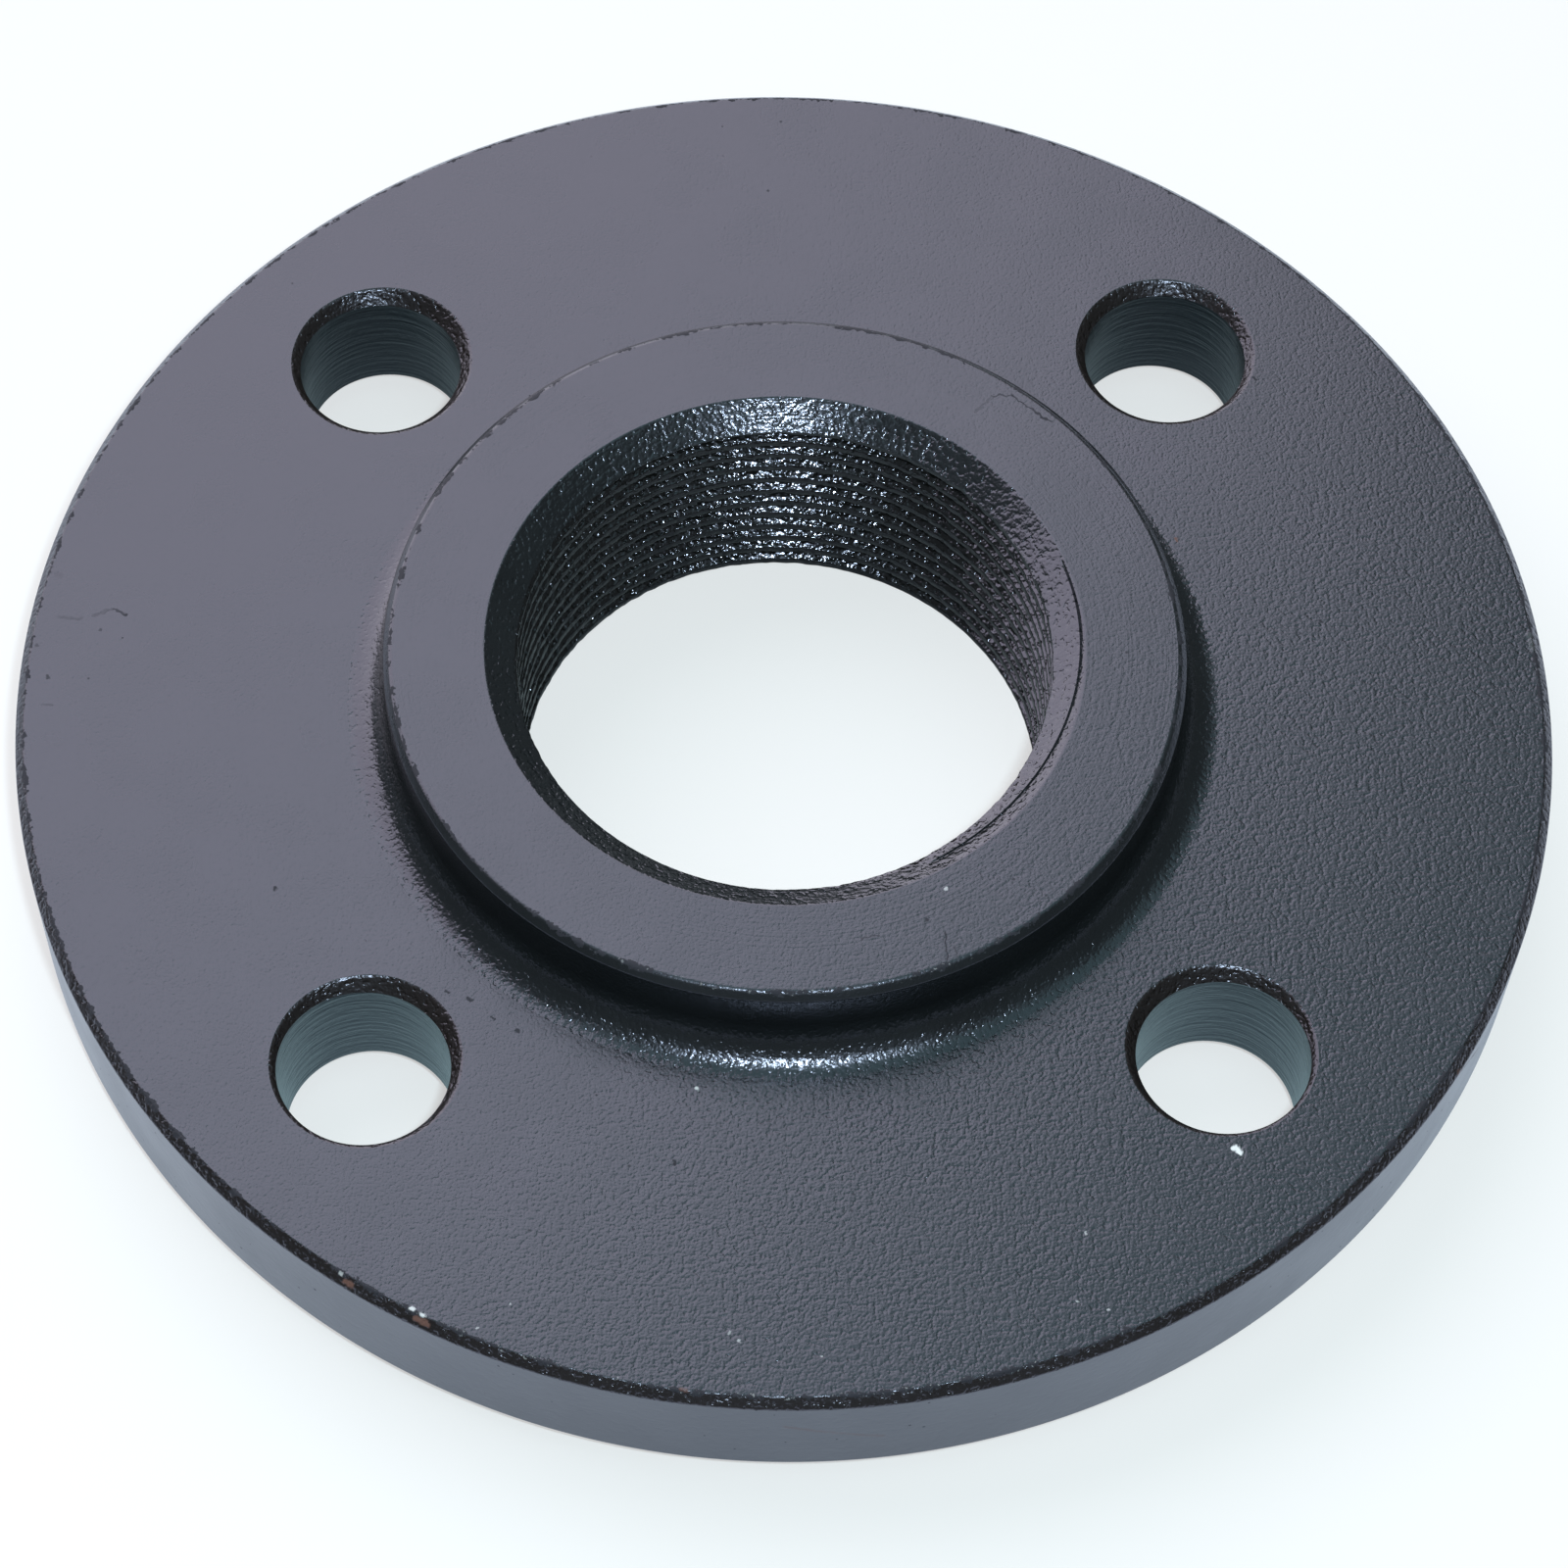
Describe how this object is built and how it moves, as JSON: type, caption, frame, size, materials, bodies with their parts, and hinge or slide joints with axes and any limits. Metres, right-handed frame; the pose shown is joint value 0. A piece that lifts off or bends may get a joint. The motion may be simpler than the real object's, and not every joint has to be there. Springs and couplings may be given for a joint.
{
  "type": "threaded flange",
  "caption": "Round steel pipe flange with a raised hub, an internally threaded bore and drilled bolt holes, finished in thin black paint.",
  "frame": {"origin": "centre of the raised gasket face, on the bore's axis; the flange lies on that face", "axes": "+Z along the bore towards the hub's end, where the pipe leaves; X and Y run midway between the bolt holes, +Y away from the picture's camera"},
  "size_m": [0.165, 0.165, 0.028],
  "materials": {
    "black_paint": "satin"
  },
  "bodies": {
    "root": {"threaded_flange": "black_paint"}
  },
  "joints": []
}
